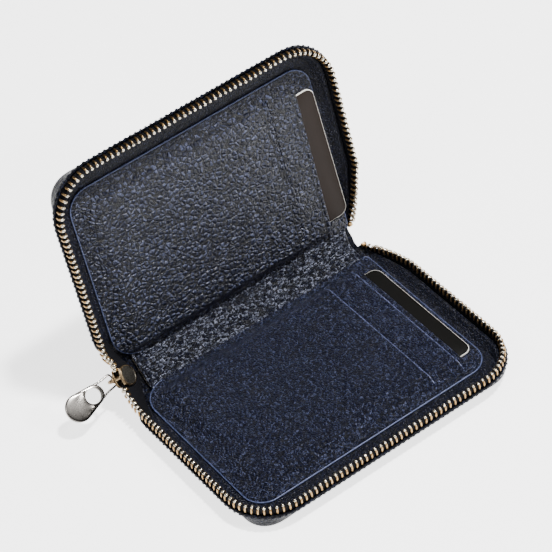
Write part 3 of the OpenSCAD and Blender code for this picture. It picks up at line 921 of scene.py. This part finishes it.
def tooth_frames(back):
    """Foot, along, outward and up of every tooth of a row, from the slider on.

    The teeth that run in to the slider have longer axes, so they come out fuller.
    """
    first = RIM_START + (PITCH / 2 if back else 0)
    line, up, along = run_in(back, 200)
    run = run_lengths(line)
    frames = []
    for at in np.arange(first - PITCH, -40, -PITCH)[::-1]:
        d = RUN_IN - at
        if d > run[-1] - 0.2:
            continue
        if d < 0:
            frames.append((cover(at, RIM_V0, TOOTH_FOOT), *np.diag([1.0, -1.0, 1.0])))
            continue
        p, u, a = (np.array([np.interp(d, run, values[:, c]) for c in range(3)])
                   for values in (line, up, -along))
        u, a = unit(u), unit(a)
        frames.append((p - 1.3 * u, a * 1.4, unit(np.cross(a, u)) * 1.1, u))
    last = RIM_RUN + (-1.4 if back else 3.0)
    return frames + list(rim_frames(np.arange(first, last, PITCH), back))


def build_teeth(side, back):
    shape = Shape()
    rng = np.random.RandomState(5 + back)
    for foot, along, out, up in tooth_frames(back):
        tilt = rng.normal(0, 0.03, 2)
        up = unit(up + tilt[0] * out + tilt[1] * along)
        axes = (along, out, up)
        shape.lump(foot + 2.42 * up - 0.1 * out, axes, (0.56, 0.72, 0.5), 0.85, 9, 14)
        shape.lump(foot + 1.95 * up, axes, (0.42, 1.08, 0.36), 0.6, 7, 12, mark=1)
        for k in (-1, 1):
            leg = foot + 1.05 * up + k * 0.78 * out
            shape.lump(leg, axes, (0.38, 0.32, 1.05), 0.6, 7, 10, mark=1)
    teeth = shape.build(side + "_teeth_row", [HEAD, LEG], None, "zip_metal", back)
    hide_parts(side + "_zip_teeth")
    at = RIM_RUN + (-0.5 if back else 3.7)
    foot, along, out, up = next(rim_frames([at], back))
    stop = Shape().lump(foot + 0.5 * up, (along, out, up), (0.8, 1.0, 0.8), 0.45, 9, 16)
    piece = stop.build(side + "_end_stop", [LEG], None, "zip_metal", back)
    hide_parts(side + "_top_stop")


# ---- spine ------------------------------------------------------------------
def build_spine_half(back):
    """Half of the pebbled strip between the panels, with its hems."""
    hem_v0 = 5.2

    def top_v(w):
        return 98.7 - 1.6 * (1 - (w / 6) ** 2)

    u = np.linspace(0.75, -6.1, 96)
    t = np.r_[np.linspace(0, 0.04, 14)[:-1], np.linspace(0.04, 0.96, 330)[:-1],
              np.linspace(0.96, 1, 14)]
    w = 6 + np.minimum(u, 0)
    top = top_v(w)
    v = hem_v0 + (top - hem_v0)[None] * t[:, None]
    far = np.minimum(v - hem_v0, top[None] - v)
    signed = (-w if back else w)[None] * np.ones_like(v)
    grain = 0.3 * pebbles(signed + 0.18 * v, v, 0.85, 21, 1.9)
    grain += 0.12 * waves(signed / 2.2, v / 5.0, 23, 2)
    grain *= 0.25 + 0.75 * smooth((far - 2.4) / 0.6)
    hem = 0.14 * smooth((2.5 - far) / 0.3) - 0.16 * np.exp(-((far - 1.5) / 0.16) ** 2)
    hem -= 0.4 * np.clip(1 - far / 0.5, 0, 1) ** 2
    crest = 0.35 * np.sin(math.pi * np.clip((w + 6) / 12, 0, 1))[None] - 0.25
    z = FOLD_Z - 0.22 + grain + hem + crest * 0.5
    upper = cover(u[None], v, z)
    lower = cover(u[None], v, FOLD_Z - 1.0)
    shape = Shape().closed(np.concatenate([upper, lower[:, ::-1]], 1))
    side = "back" if back else "front"
    half = shape.build(side + "_half_spine_strip", [SPINE_SKIN], None, "lining_leather", back,
                       flip=True)
    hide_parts("spine_lining")
    stitches = Shape()
    for inset in (1.5, 3.1):
        for uc in np.arange(-0.6, -6.0, -1.0):
            for vc in (hem_v0 + inset, top_v(6 + uc) - inset):
                out = unit(cover(uc, vc, FOLD_Z + 1) - cover(uc, vc, FOLD_Z))
                along = unit(cover(uc + 0.1, vc, FOLD_Z) - cover(uc - 0.1, vc, FOLD_Z))
                stitches.lump(cover(uc, vc, FOLD_Z + 0.02), (along, ALONG, out),
                              (0.4, 0.16, 0.14), 0.8, 5, 8)
    stitches.build(side + "_half_hem_stitches", [THREAD], None, "lining_leather", back)


# ---- slider and pull --------------------------------------------------------
def plate_outline(inset):
    """D-shaped plate: broad nose, rounded tail."""
    a = circle(72)
    x, y = np.cos(a), np.sin(a)
    reach = 1 / (np.abs(x) ** 2.6 + np.abs(y) ** 2.6) ** (1 / 2.6)
    px, py = 3.75 * reach * x, 4.25 * reach * y
    px = px * np.where(py < 0, 1 - 0.32 * (py / 4.25) ** 2, 1 - 0.06 * (py / 4.25) ** 2)
    away = np.stack([px, py], -1)
    length = np.linalg.norm(away, axis=1, keepdims=True)
    return away * (length - inset) / length


def plate(shape, z_in, z_out, centre_mark):
    """A plate with rounded edges; z_out is the face seen from outside it."""
    way = 1 if z_out > z_in else -1
    loops = [(3.4, z_in), (0.25, z_in), (0.04, z_in + way * 0.1), (0.0, z_in + way * 0.3),
             (0.0, z_out - way * 0.3), (0.08, z_out - way * 0.1), (0.28, z_out),
             (0.58, z_out), (0.7, z_out - way * 0.14), (1.6, z_out - way * 0.08),
             (2.6, z_out - way * 0.04), (3.4, z_out - way * 0.03)]
    points = []
    for inset, z in loops:
        ring = plate_outline(inset)
        points.append(slider(ring[:, 0], ring[:, 1], z))
    points = np.array(points)[:, ::way]
    centre = len(shape.faces) + 7 * points.shape[1]
    shape.closed(points)
    for i in range(centre, len(shape.faces)):
        shape.marks[i] = centre_mark


def build_slider():
    shape = Shape()
    plate(shape, 1.25, 2.1, 1)
    plate(shape, -1.25, -2.1, 0)
    axes = (SLIDER_X, NOSE, FACE)
    post = []
    for z in np.linspace(-1.4, 1.4, 7):
        flare = 1 + 0.25 * (z / 1.4) ** 2
        a = circle(20)
        post.append(slider(0.85 * flare * np.sign(np.cos(a)) * np.abs(np.cos(a)) ** 0.8,
                           2.9 + 1.15 * flare * np.sin(a), z))
    shape.closed(np.array(post))
    for side in (-1, 1):
        y = np.linspace(-3.9, 1.2, 16)
        width = 3.35 * np.where(y < 0, 1 - 0.3 * (y / 4.25) ** 2, 1)
        for way in (-1, 1):
            shape.rod(slider(side * width, y, way * 0.95), 0.42, 10, 1.0, FACE)
        y = np.linspace(1.0, 4.0, 12)
        path = slider(side * (3.3 - 0.35 * smooth((y - 1) / 3)), y, -1.25 + 0.1 * y)
        shape.rod(path, 0.4, 10, 1.2, FACE)
    x = np.linspace(-2.9, 2.9, 16)
    for way in (-1, 1):
        shape.rod(slider(x, 3.95 - 0.05 * x * x, way * 1.5), 0.38, 10, 1.0, FACE)
    body = shape.build("slider_shell", [GOLD, PEWTER], "slider", "slider_metal", auto=45)
    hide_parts("slider_body")

    crown = Shape()
    arch = bezier(slider(0, 4.1, -1.9), slider(0, 4.5, -6.3), slider(0, 0.2, -6.4),
                  slider(0, -0.6, -1.9), 30)
    wide = 0.62 + 0.12 * np.cos(np.linspace(0, 2 * math.pi, 30))
    crown.rod(arch, wide, 14, 0.62, np.cross(np.gradient(arch, axis=0), SLIDER_X))
    for y in (4.0, -0.5):
        crown.lump(slider(0, y, -2.15), axes, (1.05, 0.8, 0.4), 0.8, 7, 16)
    arch_piece = crown.build("slider_arch", [GOLD], "slider", "slider_metal")
    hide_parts("slider_crown")

    # Near-black lumps fill the slider's mouths as painted shade for its hollow inside.
    mouths = Shape()
    for side in (-1, 1):
        mouths.lump(slider(side * 1.9, 1.6, 0), axes, (1.15, 2.2, 1.15), 0.5, 9, 16)
    mouths.build("slider_inside_shade", [HOLLOW_SHADE], "slider", "slider_metal")


PULL_X, PULL_Y = turned(SPINE_X, ALONG, math.radians(189))
PIN = SLIDER_AT + 0.7 * SLIDER_X + 2.2 * NOSE - 3.25 * FACE
HOLE_Y, HOLE_R, PULL_L = 9.4, 2.75, 21.0
pull = placed(PIN, PULL_X, PULL_Y, SPINE_N)


def teardrop_reach(a):
    """Distance from the hole's centre to the tab's edge at angle a."""
    share = np.linspace(0, 1, 80)[None]
    cy = (HOLE_Y - 0.6) * (1 - share) + (PULL_L - 5) * share - HOLE_Y
    r = 3.6 * (1 - share) + 5.0 * share
    along = np.sin(a)[:, None] * cy
    inside = along ** 2 - cy ** 2 + r ** 2
    far = np.where(inside > 0, along + np.sqrt(np.clip(inside, 0, None)), 0)
    return far.max(axis=1)


# The pull's colour darkens along this way across the tab: painted shade.
SHADE_WAY = (SPINE_X + 0.3 * ALONG) / math.hypot(1, 0.3)
PULL_PAINTED_SHADE = plate_with_painted_shade("pull_painted_shade", rgb(14, 12, 10), rgb(146, 142, 137), SHADE_WAY,
                    float(pull(0, 13.5, 0) @ SHADE_WAY) - 2.2, 6.4)


def build_pull():
    count = 120
    a = circle(count)
    reach = teardrop_reach(a)
    section = [(0, 0.0, 0.0), (0, 0.05, 0.4), (0, 0.2, 0.66), (0, 0.5, 0.78)]
    section += [(k, 0.5, 0.80 + 0.22 * math.sin(math.pi * k)) for k in (0.15, 0.35, 0.55, 0.75, 0.9)]
    section += [(1, 0.9, 0.8), (1, 0.5, 0.74), (1, 0.22, 0.6), (1, 0.06, 0.36), (1, 0.0, 0.0)]
    narrow = np.clip((reach - HOLE_R) / 2.6, 0.55, 1)
    top = []
    for k, off, z in section:
        if k == 0:
            d = np.full(count, HOLE_R + off)
        elif k == 1:
            d = reach - off
        else:
            d = np.maximum((HOLE_R + 0.5) * (1 - k) + (reach - 0.9) * k, HOLE_R + 0.45)
        top.append((d, z * (1 if k in (0, 1) else narrow)))
    rings = top + [(d, -z) for d, z in top[-2:0:-1]]
    points = np.array([pull(d * np.cos(a), HOLE_Y + d * np.sin(a), z) for d, z in rings])
    shape = Shape().grid(points, wrap_rows=True, wrap_cols=True)
    for side in (-1, 1):
        bend = np.array([(0.0, 0.0), (0.5, 0.04), (1.4, 0.06), (1.95, 0.2), (2.25, 0.6),
                         (2.3, 1.3), (2.3, 3.2), (2.36, 4.6), (2.5, 5.8), (2.7, 6.9)])
        fine = np.linspace(0, len(bend) - 1, 34)
        x = side * np.interp(fine, np.arange(len(bend)), bend[:, 0])
        y = np.interp(fine, np.arange(len(bend)), bend[:, 1])
        path = pull(x, y, 0)
        radius = 0.36 + 0.12 * smooth((fine - 7) / 2)
        shape.rod(path, radius, 12, 1.0, SPINE_N)
    tab = shape.build("teardrop_pull", [PULL_PAINTED_SHADE], "pull", "pull_metal", auto=60)
    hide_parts("pull_tab")


# The spine's near-white third colour is a strong painted highlight on the lit sides of its pebbles;
# its first colour is painted shade in the creases.
SPINE_SKIN = leather("spine_leather_grain", rgb(1, 1, 4), rgb(13, 19, 40), rgb(206, 213, 240),
                     grain=0.95, depth=0.6, rough=(0.22, 0.36), stretch=(1, 0.5, 1), wear_tone_and_highlight=0.62)
HOLLOW_SHADE = metal("slider_hollow_painted_shade", rgb(10, 9, 8), rgb(24, 20, 16), 0.7)

for side_name, is_back in (("front", False), ("back", True)):
    build_panel(side_name, is_back)
    build_walls(side_name, is_back)
    build_teeth(side_name, is_back)
    build_spine_half(is_back)
build_card("card_black", "black_card", 35.1, 98.4, 0.0, "card_in_front", BLACK_CARD,
           "card_black", False)
build_card("card_brown", "brown_card", 33.8, PANEL_H + 0.3, -1.5, "card_in_back", BROWN_CARD,
           "card_brown", True)
build_slider()
build_pull()

for node, skin in (("front_board", BOARD), ("back_board", BOARD), ("spine_backing", BOARD),
                   ("tail_teeth", HEAD), ("bottom_stop", GOLD)):
    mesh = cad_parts[node].data
    mesh.materials.clear()
    mesh.materials.append(skin)


# ---- floor, light and camera ------------------------------------------------
def build_floor():
    n = Nodes("floor_paper")
    fine = n.noise(0.5, 3)
    paper = n.set(colour=n.mix(n.times(fine, 0.3), rgb(246, 246, 246),
                               rgb(240, 240, 241)), rough=0.9, normal=n.bump(fine, 0.01))
    n.shader.inputs["Emission Color"].default_value = (1, 1, 1, 1)
    n.shader.inputs["Emission Strength"].default_value = 2.4
    size = 3.0
    mesh = bpy.data.meshes.new("floor")
    z = float(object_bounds()[0][2]) - 0.0004
    mesh.from_pydata([(-size, -size, z), (size, -size, z), (size, size, z), (-size, size, z)],
                     [], [(0, 1, 2, 3)])
    mesh.materials.append(paper)
    add_object("floor", mesh)


def area_light(name, place, size, energy):
    """A square soft light aimed at the middle of the wallet."""
    data = bpy.data.lights.new(name, "AREA")
    data.shape, data.size, data.energy = "SQUARE", size, energy
    light = add_object(name, data)
    light.location = place
    way = Vector((-0.02, 0, 0.02)) - Vector(place)
    light.rotation_euler = way.to_track_quat("-Z", "Y").to_euler()


def build_camera():
    azimuth, elevation, roll = (math.radians(a) for a in (59.47, 44.53, -8.65))
    back_way = np.array([math.sin(azimuth) * math.cos(elevation),
                         -math.cos(azimuth) * math.cos(elevation), math.sin(elevation)])
    right = unit(np.cross([0, 0, 1.0], back_way))
    up = np.cross(back_way, right)
    right, up = turned(right, up, roll)
    place = (-15.398 * right + 38.772 * up + 954.676 * back_way) * MM
    data = bpy.data.cameras.new("camera")
    data.lens, data.sensor_width = 180.84, 36.0
    data.clip_start, data.clip_end = 0.05, 20
    camera = add_object("camera", data)
    turn = Matrix([[right[i], up[i], back_way[i]] for i in range(3)])
    camera.matrix_world = Matrix.Translation(Vector(place)) @ turn.to_4x4()
    bpy.context.scene.camera = camera


def build_world():
    world = bpy.data.worlds.new("studio")
    world.use_nodes = True
    tree = world.node_tree
    sky = tree.nodes["Background"]
    sky.inputs["Strength"].default_value = 0.22
    place = tree.nodes.new("ShaderNodeTexCoord")
    split = tree.nodes.new("ShaderNodeSeparateXYZ")
    ramp = tree.nodes.new("ShaderNodeValToRGB")
    low, high = ramp.color_ramp.elements
    low.position, high.position = 0.35, 0.95
    low.color, high.color = (0.10, 0.10, 0.105, 1), (1, 1, 1, 1)
    tree.links.new(place.outputs["Generated"], split.inputs[0])
    tree.links.new(split.outputs["Z"], ramp.inputs[0])
    tree.links.new(ramp.outputs[0], sky.inputs["Color"])
    bpy.context.scene.world = world


build_floor()
area_light("key", (0.85, 0.45, 0.75), 0.16, 7)
area_light("top", (0.22, 0.3, 1.25), 0.12, 34)
area_light("front", (0.1, -0.9, 1.0), 0.6, 5)
build_world()
build_camera()
